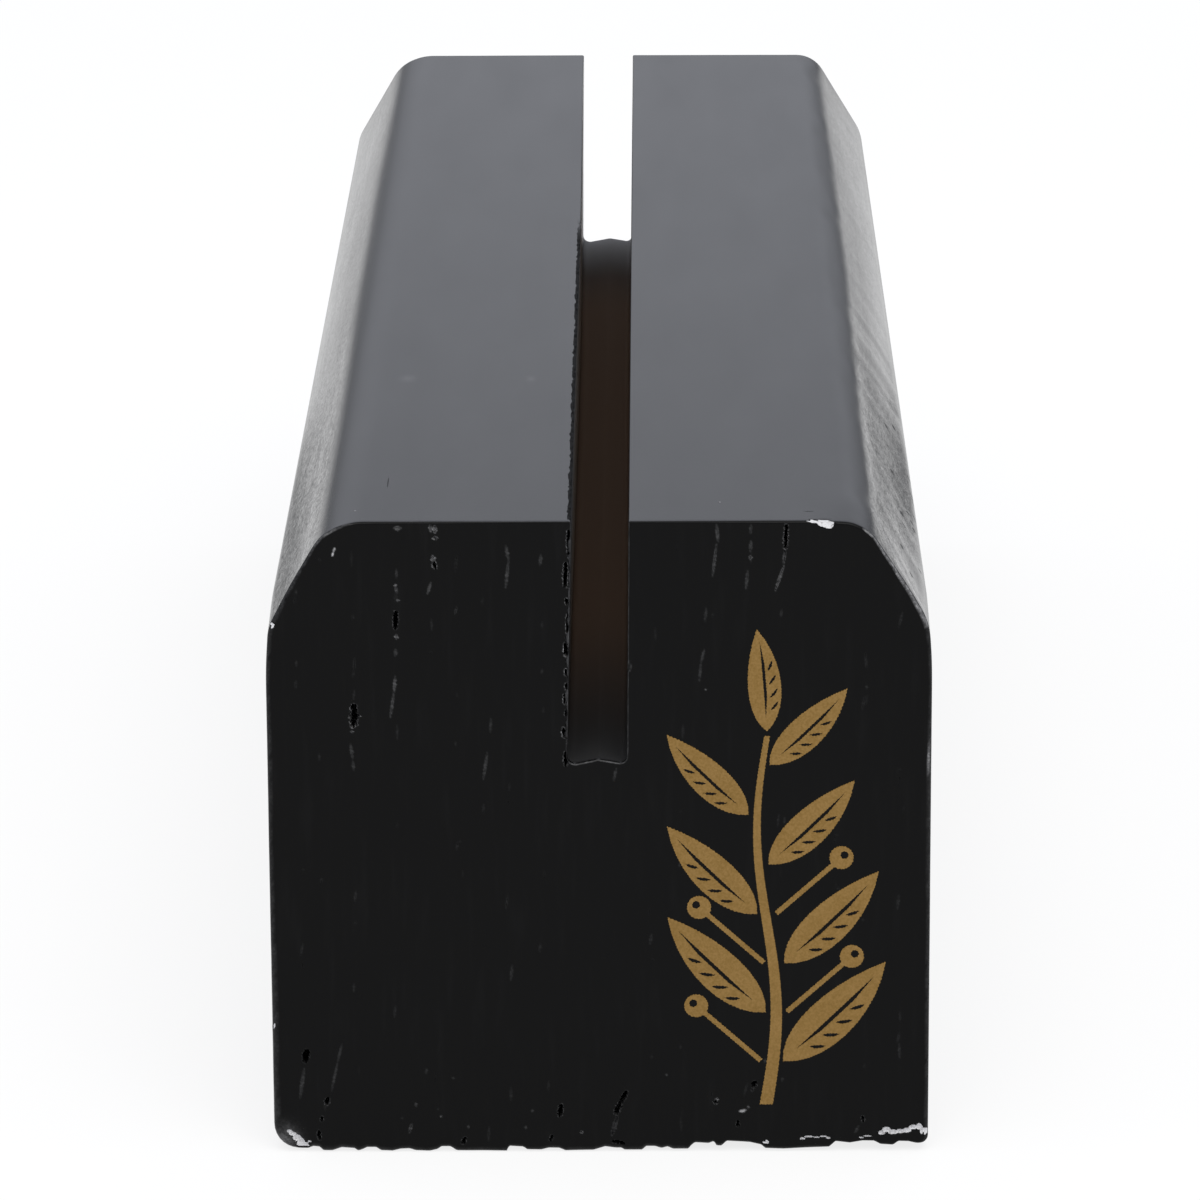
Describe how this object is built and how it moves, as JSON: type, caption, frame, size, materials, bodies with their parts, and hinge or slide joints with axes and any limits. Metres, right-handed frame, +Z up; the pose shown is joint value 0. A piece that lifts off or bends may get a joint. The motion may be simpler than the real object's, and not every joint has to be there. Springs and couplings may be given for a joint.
{
  "type": "card holder block",
  "caption": "Solid wooden bar with chamfered upper edges and a full-length saw slot on top that grips a card or thin panel; painted black, with a gold leaf print on one end.",
  "frame": {"origin": "middle of the underside", "axes": "+X to the right seen from the printed end, +Y along the bar to the plain end, +Z up"},
  "size_m": [0.04, 0.1401, 0.04],
  "materials": {
    "black_painted_wood": "satin black paint over open-grained hardwood, so the grain shows as fine relief; pale undercoat where the corners are chipped",
    "gold_ink": "flat gold screen-printing ink, matt, a thin film on the paint"
  },
  "bodies": {
    "root": {"wood_block": "black_painted_wood", "print_stem": "gold_ink", "print_leaf_1": "gold_ink", "print_leaf_2": "gold_ink", "print_leaf_3": "gold_ink", "print_leaf_4": "gold_ink", "print_leaf_5": "gold_ink", "print_leaf_6": "gold_ink", "print_leaf_7": "gold_ink", "print_top_leaf": "gold_ink", "print_berry_1": "gold_ink", "print_berry_2": "gold_ink", "print_berry_3": "gold_ink", "print_berry_4": "gold_ink"}
  },
  "joints": []
}
